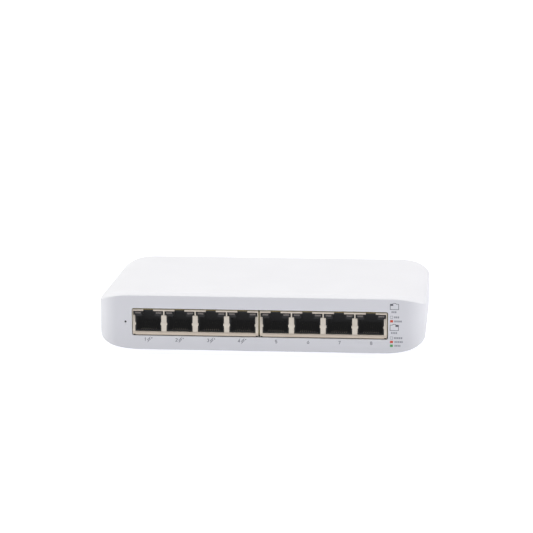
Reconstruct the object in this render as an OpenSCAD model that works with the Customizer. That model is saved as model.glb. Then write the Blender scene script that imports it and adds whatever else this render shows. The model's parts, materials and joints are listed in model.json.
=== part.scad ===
// Desktop network switch with eight copper ports, as an assembly of separate pieces.
// Millimetres. X runs along the row of ports, the ports face -Y, Z is up,
// and the origin is on the table under the middle of the casing.

/* [Casing] */
// Width of the casing, left to right
body_w = 163.7; // [163:0.1:180]
// Depth of the casing, front to back
body_d = 99.6; // [99:0.1:115]
// Overall height, from the table to the top of the casing
body_h = 31.7; // [31.5:0.1:36]
// Height of the casing's lower rim above the table
rim_z = 2.78; // [2.7:0.01:2.9]
// Thickness of the front, back and top walls
wall = 2.2; // [2:0.1:2.4]
// Thickness of the side walls at their middle
side_wall = 2.85; // [2.6:0.05:3]
// Radius of the four upright corners, seen from above
plan_r = 10.9; // [10:0.1:12]
// Run of the upper corner round along the width, seen from the front
top_rx = 16.5; // [14:0.1:18]
// Rise of the upper corner round, seen from the front
top_rz = 5.8; // [5:0.1:6]
// Run of the lower corner round along the width, seen from the front
low_rx = 21.3; // [20:0.1:22]
// Rise of the lower corner round, seen from the front
low_rz = 7.8; // [7.4:0.1:8]
// Depth of the bevel along the front and back top edges
bevel_y = 2.6; // [1.5:0.1:3]
// Height of the bevel along the front and back top edges
bevel_z = 1.46; // [1:0.01:1.6]

/* [Ports] */
// Distance between neighbouring ports of one module
port_pitch = 15.757; // [15.7:0.001:15.8]
// Middle of the left module, along the width
left_mod_x = -32.525; // [-33:0.005:-32.5]
// Middle of the right module, along the width
right_mod_x = 31.385; // [31.3:0.005:31.6]
// Width of one module over its shield
mod_w = 63.1; // [63:0.1:63.2]
// Depth of one module over its shield
mod_d = 18.3; // [17:0.1:19]
// Thickness of the shield's sheet steel
sheet = 0.3; // [0.25:0.05:0.35]
// How far the shields' faces sit behind the casing's front
face_set = 0.5; // [0.3:0.1:0.8]
// Width of a port's lower opening in the shield
port_w = 13.12; // [12.4:0.02:13.2]
// Width of a port's upper opening, where the lights are
port_top_w = 15.1; // [14.6:0.1:15.2]
// Width of the latch notch above each port
latch_w = 4.95; // [4.5:0.05:5.2]
// Width of one light's lens
lens_w = 2.9; // [2.4:0.1:3]
// Number of contacts in one port
contacts = 8; // [8]

/* [Board] */
// Height of the board's upper face above the table
board_top = 9.9; // [9.8:0.1:10]
// Thickness of the board
board_t = 1.6; // [1.2:0.1:1.6]
// Width of the board
board_w = 152; // [148:1:153]

/* [Reset] */
// Place of the reset button along the width
reset_x = -67.65; // [-67.7:0.05:-67.5]
// Height of the reset button's middle above the table
reset_z = 16.85; // [16.5:0.05:17.2]
// Radius of the pinhole in the casing
pin_r = 0.5; // [0.4:0.1:0.8]
// Travel of the reset button
reset_travel = 0.25; // [0.2:0.05:0.25]

/* [Power inlet] */
// Place of the power inlet along the width, at the back
inlet_x = 55; // [50:1:56]
// Height of the power inlet's axis above the table
inlet_z = 16.4; // [16:0.1:17]
// Radius of the inlet's centre pin
inlet_pin_r = 1.05; // [1.05, 1.25]
// Radius of the opening in the casing
inlet_hole_r = 4.25; // [4:0.05:4.4]

/* [Base] */
// Radius of a rubber foot
foot_r = 5.5; // [4.5:0.5:6]
// Sideways place of the feet, from the middle
foot_x = 50; // [44:1:52]
// Front-to-back place of the feet, from the middle
foot_y = 31.5; // [30:0.5:32]
// How far the raised middle of the base reaches below the rim
plinth_drop = 0.88; // [0.6:0.02:1]
// Spacing of the two wall-hanging keyholes
key_span = 80; // [60:1:84]
// Number of ventilation slots in one row
vents = 13; // [7:2:13]

/* [Hidden] */

hw = body_w / 2;
hd = body_d / 2;
in_x = hw - side_wall;             // inner face of the side walls
in_y = hd - wall;                  // inner face of the front and back walls
in_top = body_h - wall;            // inner face of the top
in_r = plan_r - side_wall;
board_bot = board_top - board_t;
seam = 0.15;                       // gap round the bottom cover
base_t = 2.2;                      // thickness of the bottom cover
plinth_z = rim_z - plinth_drop;    // lowest face of the bottom cover
pocket_z = plinth_z + 0.8;         // ceiling of the feet's pockets
face_y = -hd + face_set;           // front of the shields
hous_y = face_y + sheet + 0.1;     // front of the plastic housings
mod_back = face_y + mod_d;
port_z = [12, 20.3, 22.3, 23.25];  // sill, shoulder, lintel and notch top of an opening
mod_z = [10.2, 23.5];              // lowest and highest point of a shield
bosses = [[-70.5, -30], [70.5, -30], [-70.5, 38], [70.5, 38]];
board_posts = [[-66, -12], [66, -12], [-66, 26], [66, 26]];
feet = [for (x = [-foot_x, foot_x]) for (y = [-foot_y, foot_y]) [x, y]];
boss_z = 7.4;                      // where the cover's bosses meet the bottom cover's
sw_y = -45.2;                      // front of the reset switch's body
jack_y = 48.4;                     // mouth of the power inlet
port_at = [for (i = [-1.5:1:1.5]) i * port_pitch - 0.06];
white = [0.90, 0.90, 0.92];
steel = [0.76, 0.73, 0.68];
black = [0.09, 0.09, 0.10];
gold = [0.83, 0.66, 0.33];

// ---- shared shapes ----

// Part of an ellipse as points
function arc(cx, cz, rx, rz, a0, a1, n) =
    [for (i = [0:n]) let (t = a0 + (a1 - a0) * i / n) [cx + rx * cos(t), cz + rz * sin(t)]];

// Front outline of the casing: half width, low and high z, and the corner rounds
function outline(w, lo, hi, tx, tz, bx, bz, n = 14) = concat(
    arc(w - bx, lo + bz, bx, bz, -90, 0, n),
    arc(w - tx, hi - tz, tx, tz, 0, 90, n),
    arc(-(w - tx), hi - tz, tx, tz, 90, 180, n),
    arc(-(w - bx), lo + bz, bx, bz, 180, 270, n));

// A bent strip of thickness t along the points P
function unit(v) = v / norm(v);
function nrm(a, b) = let (u = unit(b - a)) [-u[1], u[0]];
function mitre(p, q, r, h) =
    let (n1 = nrm(p, q), n2 = nrm(q, r), m = unit(n1 + n2)) q + m * h / (m * n1);
function side(P, h) = [for (i = [0:len(P) - 1])
    i == 0 ? P[0] + nrm(P[0], P[1]) * h
    : i == len(P) - 1 ? P[i] + nrm(P[i - 1], P[i]) * h
    : mitre(P[i - 1], P[i], P[i + 1], h)];
function back(L) = [for (i = [len(L) - 1:-1:0]) L[i]];
function strip(P, t) = concat(side(P, t / 2), back(side(P, -t / 2)));

// Stand a front-view (x, z) drawing up between two depths
module upright(y0, y1) {
    translate([0, y1, 0]) rotate([90, 0, 0]) linear_extrude(y1 - y0) children();
}

// Stand a side-view (y, z) drawing up between two places along x
module sideways(x0, x1) {
    translate([x0, 0, 0]) rotate([90, 0, 90]) linear_extrude(x1 - x0) children();
}

// Rectangle with round corners, centred
module slab(w, d, r) {
    square([w - 2 * r, d], center = true);
    square([w, d - 2 * r], center = true);
    for (x = [-1, 1]) for (y = [-1, 1])
        translate([x * (w / 2 - r), y * (d / 2 - r)]) circle(r, $fn = 48);
}

// A box from its low corner to its high corner
module block(a, b) {
    translate(a) cube([b[0] - a[0], b[1] - a[1], b[2] - a[2]]);
}

// A chip-like box standing on the board, centred at x, y
module chip(x, y, w, d, h, z = board_top) {
    translate([x - w / 2, y - d / 2, z]) cube([w, d, h]);
}

// ---- casing ----

// Everything below one flank of the bevel. The flank faces the front, turned by t
// round the upright corner on side s, and cuts less the further it is turned.
module below_flank(s, t, f) {
    cut = bevel_z * (1 - pow(t / 90, 3.2));
    slope = cut / bevel_y;
    lean = atan(slope * cos(t));
    low = body_h - top_rz;
    function fall(x) = slope * (plan_r - s * sin(t) * (x - s * (hw - plan_r)) + cos(t) * (hd - plan_r)) - cut;
    crown = [for (k = [0:13]) let (a = (k + f) * 90 / 14) [hw - top_rx * (1 - cos(a)), low + top_rz * sin(a)]];
    top = concat([[hw + 4, low]], crown, [for (k = [13:-1:0]) [-crown[k][0], crown[k][1]]], [[-hw - 4, low]]);
    rotate([lean, 0, 0]) upright(-220, 220) polygon(concat(
        [for (p = top) [p[0], cos(lean) * (p[1] + fall(p[0]))]], [[-hw - 4, -150], [hw + 4, -150]]));
}

// Everything below the front bevel and its turn round both upright corners
module below_bevel() {
    intersection() {
        below_flank(1, 0, 0.5);
        below_flank(1, 20, 0.35);
        below_flank(1, 40, 0.65);
        below_flank(1, 60, 0.4);
        below_flank(-1, 20, 0.35);
        below_flank(-1, 40, 0.65);
        below_flank(-1, 60, 0.4);
    }
}

// Outer form of the casing, down to its rim
module casing_form() {
    intersection() {
        translate([0, 0, rim_z]) linear_extrude(body_h - rim_z) slab(body_w, body_d, plan_r);
        upright(-hd - 1, hd + 1) polygon(outline(hw, rim_z, body_h, top_rx, top_rz, low_rx, low_rz));
        below_bevel();
        mirror([0, 1, 0]) below_bevel();
    }
}

// Room inside the casing, open below
module casing_room() {
    intersection() {
        translate([0, 0, rim_z - 1]) linear_extrude(in_top - rim_z + 1)
            slab(2 * in_x, 2 * in_y, in_r);
        upright(-hd, hd) polygon(outline(in_x, rim_z - 1, in_top, 14.5, 5, 0.01, 0.01));
    }
}

module port_window() {
    upright(-hd - 1, -hd + wall + 1)
        translate([-0.45, 16.775]) slab(127.9, 13.95, 0.9);
}

module top_cover() color(white) difference() {
    union() {
        difference() {
            casing_form();
            casing_room();
        }
        // screw bosses hanging from the top
        for (p = bosses) translate([p[0], p[1], boss_z]) cylinder(h = in_top - boss_z + 0.1, r = 3.25, $fn = 48);
        // webs that tie the bosses to the side walls
        for (p = bosses) let (s = sign(p[0]))
            block([s > 0 ? p[0] + 2.9 : -in_x - 0.4, p[1] - 0.7, 12],
                  [s > 0 ? in_x + 0.4 : p[0] - 2.9, p[1] + 0.7, 26]);
        // stiffening ribs under the top
        for (x = [-54, -18, 18]) block([x - 0.6, -28, in_top - 2.2], [x + 0.6, in_y + 0.2, in_top + 0.2]);
    }
    port_window();
    translate([reset_x, -hd - 1, reset_z]) rotate([-90, 0, 0]) cylinder(h = wall + 2, r = pin_r, $fn = 24);
    // front wall thinned from inside round the pinhole
    block([reset_x - 2.2, -hd + 0.8, reset_z - 2.2], [reset_x + 2.2, -in_y + 0.1, reset_z + 2.2]);
    // thinned back wall, open below, so the inlet's mouth comes close to the outside
    block([inlet_x - 5, in_y - 0.1, rim_z - 1], [inlet_x + 5, hd - 1.2, 21.6]);
    translate([inlet_x, hd - 2, inlet_z]) rotate([-90, 0, 0]) cylinder(h = 4, r = inlet_hole_r, $fn = 64);
    for (p = bosses) translate([p[0], p[1], boss_z - 1]) cylinder(h = 10.5, r = 1.5, $fn = 32);
}

// Keyhole drawing: wide entry at the front end, narrow slot towards the back
module keyhole() {
    translate([0, -4.5]) circle(3.8, $fn = 48);
    translate([-2, -4.5]) square([4, 9]);
    translate([0, 4.5]) circle(2, $fn = 32);
}

module bottom_cover() color(white) difference() {
    union() {
        intersection() {
            translate([0, 0, rim_z]) linear_extrude(12) slab(2 * (in_x - seam), 2 * (in_y - seam), in_r - seam);
            upright(-hd, hd) difference() {
                polygon(outline(hw, rim_z, body_h, top_rx, top_rz, low_rx, low_rz));
                translate([0, base_t]) polygon(outline(hw, rim_z, body_h + 4, top_rx, top_rz, low_rx, low_rz));
            }
        }
        translate([0, 0, plinth_z]) linear_extrude(rim_z + 1 - plinth_z) slab(118, 83, 10);
        // posts that carry the board
        for (p = board_posts) translate([p[0], p[1], rim_z + 1]) cylinder(h = board_bot - rim_z - 1, r = 3.25, $fn = 48);
        // tongue that closes the back wall's thinned place from below
        block([inlet_x - 4.85, in_y - 2, rim_z], [inlet_x + 4.85, jack_y + 0.05, rim_z + base_t]);
        // sockets that take the cover's bosses
        for (p = bosses) translate([p[0], p[1], 4.6]) cylinder(h = boss_z - 4.6, r = 4.75, $fn = 48);
    }
    // hollow of the raised middle
    translate([0, 0, plinth_z + 2]) linear_extrude(rim_z + base_t - plinth_z - 2 + 0.01) slab(114, 79, 8);
    for (p = feet) translate([p[0], p[1], 0]) cylinder(h = pocket_z, r = foot_r + 0.2, $fn = 64);
    for (p = board_posts) translate([p[0], p[1], 4.7]) cylinder(h = 6, r = 1.5, $fn = 32);
    for (p = bosses) translate([p[0], p[1], 0]) {
        cylinder(h = 5.6, r = 3.2, $fn = 48);
        cylinder(h = 9, r = 1.7, $fn = 32);
    }
    for (x = [-key_span / 2, key_span / 2]) translate([x, 0, 0]) linear_extrude(8) keyhole();
    for (i = [0:vents - 1]) for (y = [-27, 11])
        translate([(i - (vents - 1) / 2) * 4.4 - 0.8, y, 0]) cube([1.6, 16, 8]);
}

module rubber_feet() color([0.16, 0.16, 0.17]) for (p = feet) translate([p[0], p[1], 0])
    rotate_extrude($fn = 64) {
        square([foot_r - 0.8, pocket_z]);
        translate([0, 0.8]) square([foot_r, pocket_z - 0.8]);
        translate([foot_r - 0.8, 0.8]) circle(0.8, $fn = 32);
    }

// Pan-head screw with a cross recess: head up, underside of the head at z = 0
module screw(head_r, head_h, shank_r, length) difference() {
    union() {
        cylinder(h = head_h, r = head_r, $fn = 48);
        translate([0, 0, -length]) cylinder(h = length + 0.1, r = shank_r, $fn = 32);
    }
    for (a = [0, 90]) rotate(a) translate([-head_r * 0.55, -0.35, head_h * 0.45]) cube([head_r * 1.1, 0.7, head_h]);
}

module cover_screws() color([0.6, 0.6, 0.62]) for (p = bosses)
    translate([p[0], p[1], 5.6]) mirror([0, 0, 1]) screw(2.8, 1.7, 1.45, 9);

module board_screws() color([0.6, 0.6, 0.62]) for (p = board_posts)
    translate([p[0], p[1], board_top]) screw(2.6, 1.7, 1.45, 4.6);

// ---- board ----

module main_board() color([0.07, 0.33, 0.18]) difference() {
    translate([0, -0.4, board_bot]) linear_extrude(board_t) slab(board_w, 93, 6.5);
    for (p = bosses) let (s = sign(p[0])) {
        translate([p[0], p[1], board_bot - 1]) cylinder(h = board_t + 2, r = 4.1, $fn = 48);
        block([s > 0 ? p[0] : -board_w / 2 - 2, p[1] - 4.1, board_bot - 1],
              [s > 0 ? board_w / 2 + 2 : p[0], p[1] + 4.1, board_top + 1]);
    }
    for (p = board_posts) translate([p[0], p[1], board_bot - 1]) cylinder(h = board_t + 2, r = 1.6, $fn = 32);
    for (m = [left_mod_x, right_mod_x]) for (s = [-1, 1])
        translate([m + s * 23.6, -41, board_bot - 1]) cylinder(h = board_t + 2, r = 1.65, $fn = 32);
}

// ---- port modules, drawn about their own middle ----

// One port's opening in the shield's face, with its two spring bumps
module port_opening() difference() {
    union() {
        translate([-port_w / 2, port_z[0]]) square([port_w, port_z[2] - port_z[0]]);
        translate([-port_top_w / 2, port_z[1]]) square([port_top_w, port_z[2] - port_z[1]]);
        translate([-latch_w / 2, port_z[0]]) square([latch_w, port_z[3] - port_z[0]]);
    }
    for (s = [-1, 1]) translate([s * port_w / 2, 15.85]) {
        square([0.64, 1], center = true);
        for (e = [-0.5, 0.5]) translate([0, e]) circle(0.32, $fn = 16);
    }
}

module shield() difference() {
    union() {
        // face
        upright(face_y, face_y + sheet) difference() {
            translate([-mod_w / 2, mod_z[0]]) square([mod_w, 23.2 - mod_z[0]]);
            for (x = port_at) translate([x, 0]) port_opening();
            // small corner nicks where the sheet is folded
            for (s = [-1, 1]) translate([s * (mod_w / 2 - 0.75), mod_z[0]]) square([0.6, 0.5], center = true);
        }
        // top, sides and back
        upright(face_y + 0.1, mod_back) difference() {
            translate([-mod_w / 2, mod_z[0]]) square([mod_w, mod_z[1] - mod_z[0]]);
            translate([-mod_w / 2 + sheet, mod_z[0] - 1]) square([mod_w - 2 * sheet, 23.1 - mod_z[0] + 1]);
        }
        block([-mod_w / 2, mod_back - sheet, mod_z[0]], [mod_w / 2, mod_back, mod_z[1]]);
        // legs that stand on the board
        for (s = [-1, 1]) for (y = [-45, -36])
            block([s > 0 ? mod_w / 2 - sheet : -mod_w / 2, y, board_top], [s > 0 ? mod_w / 2 : -mod_w / 2 + sheet, y + 2.4, mod_z[0] + 0.2]);
    }
    // vent slots in the top sheet, over each port
    for (x = port_at) block([x - 4, -37, 23], [x + 4, -35.8, 24]);
}

module port_shield_left() color(steel) translate([left_mod_x, 0, 0]) shield();
module port_shield_right() color(steel) translate([right_mod_x, 0, 0]) shield();

// A port's hollow in the plastic, from the mouth inwards
module plug_room() {
    block([-6, hous_y - 1, 12.55], [6, -35.9, 19.65]);          // the plug's body
    block([-3.3, hous_y - 1, 19], [3.3, -37, 21.75]);           // the plug's latch
    block([-latch_w / 2, hous_y - 1, 21], [latch_w / 2, -40, 22.35]);
    block([-4.35, -47.9, 10.9], [4.35, -35.8, 12.6]);           // bed of the contacts
    block([-4.35, -36, 10.9], [4.35, -33.1, 11.6]);
    block([-4.35, -34.1, board_top - 1], [4.35, -33.1, 11.2]);  // where the tails go down
    for (s = [-1, 1]) block([s > 0 ? 3.75 : -6.75, hous_y - 1, 20.85], [s > 0 ? 6.75 : -3.75, -42, 21.9]);
}

module housing() {
    difference() {
        block([-mod_w / 2 + sheet + 0.1, hous_y, board_top], [mod_w / 2 - sheet - 0.1, mod_back - sheet - 0.15, 23]);
        for (x = port_at) translate([x, 0, 0]) plug_room();
    }
    // comb between the contacts
    for (x = port_at) for (i = [0:contacts]) let (c = x + (i - contacts / 2) * 1.02)
        block([c - 0.2, -48, 10.8], [c + 0.2, -46.7, 12.95]);
    // pegs into the board
    for (s = [-1, 1]) translate([s * 23.6, -41, board_bot - 1.2]) cylinder(h = board_t + 1.5, r = 1.55, $fn = 32);
}

module port_housing_left() color(black) translate([left_mod_x, 0, 0]) housing();
module port_housing_right() color(black) translate([right_mod_x, 0, 0]) housing();

// One spring contact: tail on the board, along the bed, round the front and back up
contact_path = [[-33.6, board_top], [-33.6, 11.2], [-47.3, 11.2], [-47.3, 12.6], [-46.7, 12.95], [-38.6, 15.1], [-37.9, 14.9]];
module contact_set() for (x = port_at) for (i = [0:contacts - 1])
    let (c = x + (i - (contacts - 1) / 2) * 1.02) sideways(c - 0.2, c + 0.2) polygon(strip(contact_path, 0.28));

module port_contacts_left() color(gold) translate([left_mod_x, 0, 0]) contact_set();
module port_contacts_right() color(gold) translate([right_mod_x, 0, 0]) contact_set();

// Two lights in each port
module light_set() for (x = port_at) for (s = [-1, 1])
    block([x + s * 5.25 - lens_w / 2, hous_y - 0.1, 20.9], [x + s * 5.25 + lens_w / 2, -42.1, 21.85]);

module port_lights_left() color([0.40, 0.40, 0.41]) translate([left_mod_x, 0, 0]) light_set();
module port_lights_right() color([0.40, 0.40, 0.41]) translate([right_mod_x, 0, 0]) light_set();

// ---- reset switch ----

module reset_round(y0, y1, r) translate([reset_x, y0, reset_z]) rotate([-90, 0, 0]) cylinder(h = y1 - y0, r = r, $fn = 48);

module reset_button() color([0.12, 0.12, 0.13]) {
    reset_round(sw_y - 1.2, sw_y + 2.0, 1.75);
    reset_round(sw_y + 1.8, sw_y + 2.2, 2.4);
}

module reset_switch_body() color(black) difference() {
    block([reset_x - 3, sw_y, reset_z - 3], [reset_x + 3, sw_y + 3.4, reset_z + 3]);
    reset_round(sw_y - 1, sw_y + 2, 1.8);
    reset_round(sw_y + 1.8, sw_y + 2.9, 2.6);
}

module reset_switch_dome() color([0.8, 0.8, 0.78]) translate([reset_x, sw_y + 2.9, reset_z]) rotate([90, 0, 0])
    rotate_extrude($fn = 48) polygon([[0, 0.28], [0.9, 0.24], [1.7, 0.12], [2.3, 0], [2.3, 0.1], [1.7, 0.22], [0.9, 0.34], [0, 0.38]]);

module reset_switch_bracket() color([0.75, 0.75, 0.74]) {
    block([reset_x - 3, sw_y + 3.4, 12.4], [reset_x + 3, sw_y + 3.7, reset_z + 3.3]);
    block([reset_x - 3, sw_y + 0.2, reset_z + 3], [reset_x + 3, sw_y + 3.5, reset_z + 3.3]);
    for (s = [-1, 1]) block([reset_x + s * 2.4 - 0.6, sw_y + 3.4, board_top], [reset_x + s * 2.4 + 0.6, sw_y + 3.7, 12.5]);
}

module reset_switch_pins() color([0.8, 0.8, 0.78]) for (s = [-1, 1])
    block([reset_x + s * 2.2 - 0.35, sw_y + 1.4, board_top], [reset_x + s * 2.2 + 0.35, sw_y + 1.7, reset_z - 3]);

// ---- power inlet ----

module inlet_round(y0, y1, r, fn = 48) translate([inlet_x, y0, inlet_z]) rotate([-90, 0, 0]) cylinder(h = y1 - y0, r = r, $fn = fn);

module dc_jack_housing() color(black) difference() {
    union() {
        block([inlet_x - 4.5, jack_y - 14, board_top], [inlet_x + 4.5, jack_y, 19.4]);
        block([inlet_x - 4.5, jack_y - 3.3, board_top], [inlet_x + 4.5, jack_y, 20.9]);
        inlet_round(jack_y - 14, jack_y - 1, 4.5, 64);
    }
    inlet_round(jack_y - 10, jack_y + 1, 3.2, 64);
    inlet_round(jack_y - 12.45, jack_y - 9, 1.65);
    // slot for the side spring
    block([inlet_x - 5, jack_y - 9.5, inlet_z - 1.2], [inlet_x - 2.2, jack_y - 4, inlet_z + 1.2]);
}

module dc_jack_pin() color([0.82, 0.80, 0.76]) translate([inlet_x, jack_y - 12.4, inlet_z]) rotate([-90, 0, 0]) rotate_extrude($fn = 48)
    polygon([[0, 0], [1.6, 0], [1.6, 2.4], [inlet_pin_r, 2.4], [inlet_pin_r, 11.2], [inlet_pin_r - 0.4, 11.6], [0, 11.6]]);

module dc_jack_spring() color([0.82, 0.80, 0.76]) translate([inlet_x, 0, inlet_z - 1]) linear_extrude(2)
    polygon(strip([[-4.75, jack_y - 9.2], [-4.3, jack_y - 9.2], [-2.75, jack_y - 6.6], [-3.9, jack_y - 4.3]], 0.25));

// ---- components on the board ----

module lan_transformers() color([0.11, 0.11, 0.12]) for (x = [-48.4, -16.7, 15.5, 47.2]) {
    chip(x, -21.5, 28, 12, 5.6);
    for (i = [-5.5:1:5.5]) for (s = [-1, 1])
        translate([x + i * 2.2, -21.5 + s * 6.6, board_top + 0.25]) cube([0.5, 1.6, 0.5], center = true);
}
module switch_chip() color([0.10, 0.10, 0.11]) {
    chip(4, 8, 20, 20, 1.4);
    for (a = [0:90:270]) translate([4, 8, board_top]) rotate(a)
        for (i = [-7.5:1:7.5]) translate([i, 10.4, 0.15]) cube([0.4, 1.2, 0.3], center = true);
}
module thermal_pad() color([0.55, 0.62, 0.70]) chip(4, 8, 19, 19, 0.5, board_top + 1.4);
module heat_sink() color([0.62, 0.63, 0.65]) {
    chip(4, 8, 30, 30, 2, board_top + 1.9);
    for (i = [-4:4]) chip(4 + i * 3.55, 8, 1.1, 30, 9.5, board_top + 3.8);
}
module port_power_chip() color([0.10, 0.10, 0.11]) chip(-44, 6, 8, 8, 0.9);
module port_power_transistors() color([0.10, 0.10, 0.11]) for (x = [-56, -48, -40, -32]) chip(x, -6, 5, 6, 1.1);
module memory_chip() color([0.10, 0.10, 0.11]) chip(8, 34, 13, 8, 1.1);
module flash_chip() color([0.10, 0.10, 0.11]) {
    chip(-10, 34, 5.2, 4, 1.7);
    for (i = [-1.5:1:1.5]) for (s = [-1, 1]) translate([-10 + i * 1.27, 34 + s * 2.45, board_top + 0.2]) cube([0.4, 0.9, 0.4], center = true);
}
module crystal() color([0.80, 0.80, 0.80]) translate([31, 4, board_top]) {
    linear_extrude(0.5) slab(12, 4.9, 2.4);
    linear_extrude(3.5) slab(11, 4.1, 2);
}
module power_inductors() color([0.20, 0.20, 0.21]) for (p = [[26, 26], [-22, 27], [-60, 40]]) difference() {
    translate([p[0], p[1], board_top]) linear_extrude(5.5) slab(12, 12, 2);
    translate([p[0], p[1], board_top + 5]) cylinder(h = 1, r = 3.6, $fn = 32);
}
module bulk_capacitors() color([0.22, 0.25, 0.33]) for (p = [[42, 40], [42, 28], [30, 40]])
    translate([p[0], p[1], board_top]) difference() {
        rotate_extrude($fn = 48) polygon([[0, 0], [4.8, 0], [5, 0.2], [5, 1.6], [4.7, 1.9], [4.7, 2.2], [5, 2.5], [5, 15.8], [4.8, 16], [0, 16]]);
        for (a = [0, 90]) rotate(a) translate([-3, -0.15, 15.8]) cube([6, 0.3, 1]);
    }
module small_capacitors() color([0.72, 0.72, 0.74]) for (p = [[-52, 28], [-40, 28], [-34, 40], [16, 42]])
    translate([p[0], p[1], board_top]) {
        linear_extrude(0.8) square(6.6, center = true);
        cylinder(h = 7.7, r = 3.15, $fn = 48);
    }
module input_choke() color([0.18, 0.18, 0.19]) {
    chip(55, 24, 12, 10, 1);
    chip(55, 24, 9, 4, 8);
    for (s = [-1, 1]) chip(55 + s * 4.5, 24, 3, 9, 6.5);
}
module input_fuse() color([0.85, 0.83, 0.76]) chip(63.2, 35.5, 2.6, 6.1, 2.5);
module chip_capacitors() color([0.62, 0.50, 0.36]) {
    for (i = [0:5]) for (s = [-1, 1]) chip(4 + s * 18, -1 + i * 3, 2, 1.25, 1.1);
    for (i = [0:7]) chip(-30 + i * 3.2, 18, 2, 1.25, 1.1);
}
module chip_resistors() color([0.14, 0.14, 0.15]) {
    for (i = [0:15]) chip(-58 + i * 7.6, -11.5, 1.6, 0.8, 0.5);
    for (i = [0:7]) chip(-58 + i * 3, 14, 1.6, 0.8, 0.5);
}

top_cover();
bottom_cover();
rubber_feet();
cover_screws();
board_screws();
main_board();
port_shield_left();
port_shield_right();
port_housing_left();
port_housing_right();
port_contacts_left();
port_contacts_right();
port_lights_left();
port_lights_right();
reset_button();
reset_switch_body();
reset_switch_bracket();
reset_switch_dome();
reset_switch_pins();
dc_jack_housing();
dc_jack_pin();
dc_jack_spring();
lan_transformers();
switch_chip();
thermal_pad();
heat_sink();
port_power_chip();
port_power_transistors();
memory_chip();
flash_chip();
crystal();
power_inductors();
bulk_capacitors();
small_capacitors();
input_choke();
input_fuse();
chip_capacitors();
chip_resistors();
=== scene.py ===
import json
import math

import bpy
import bmesh
from mathutils import Matrix, Vector
from mathutils.geometry import tessellate_polygon


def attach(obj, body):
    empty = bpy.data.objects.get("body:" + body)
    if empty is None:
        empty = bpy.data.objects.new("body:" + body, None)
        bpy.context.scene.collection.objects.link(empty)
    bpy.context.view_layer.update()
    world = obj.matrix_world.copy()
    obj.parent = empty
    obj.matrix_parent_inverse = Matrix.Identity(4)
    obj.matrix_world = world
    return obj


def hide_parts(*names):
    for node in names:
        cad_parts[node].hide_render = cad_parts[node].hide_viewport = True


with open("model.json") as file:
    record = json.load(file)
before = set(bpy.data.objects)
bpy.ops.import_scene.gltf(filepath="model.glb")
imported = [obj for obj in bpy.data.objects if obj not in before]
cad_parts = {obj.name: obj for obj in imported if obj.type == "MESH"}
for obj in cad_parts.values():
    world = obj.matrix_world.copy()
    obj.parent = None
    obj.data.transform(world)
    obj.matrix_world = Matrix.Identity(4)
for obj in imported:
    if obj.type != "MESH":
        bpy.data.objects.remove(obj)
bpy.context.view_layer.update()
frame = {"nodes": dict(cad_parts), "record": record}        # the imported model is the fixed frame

# Everything below is worked out in millimetres and turned into metres as it is built.
MM = 0.001
nodes = frame["nodes"]
scene = bpy.context.scene
ROOT = "casing"

# ------------------------------------------------------------------ camera
def make_camera():
    """A long lens in front of the ports, a little above and to the right."""
    place = Vector((105.747, -1125.612, 258.912)) * MM
    yaw, pitch, roll = 0.0949538, 0.1945946, -0.0038089
    ahead = Vector((-math.sin(yaw) * math.cos(pitch), math.cos(yaw) * math.cos(pitch), -math.sin(pitch)))
    r = Vector((math.cos(yaw), math.sin(yaw), 0))
    u = r.cross(ahead)
    right = math.cos(roll) * r + math.sin(roll) * u
    up = -math.sin(roll) * r + math.cos(roll) * u
    cam = bpy.data.cameras.new("camera")
    cam.sensor_width = 36.0
    cam.lens = 150.4715
    cam.clip_start, cam.clip_end = 0.05, 60
    ob = bpy.data.objects.new("camera", cam)
    scene.collection.objects.link(ob)
    ob.matrix_world = Matrix((
        (right.x, up.x, -ahead.x, place.x),
        (right.y, up.y, -ahead.y, place.y),
        (right.z, up.z, -ahead.z, place.z),
        (0, 0, 0, 1)))
    scene.camera = ob


make_camera()


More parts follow.
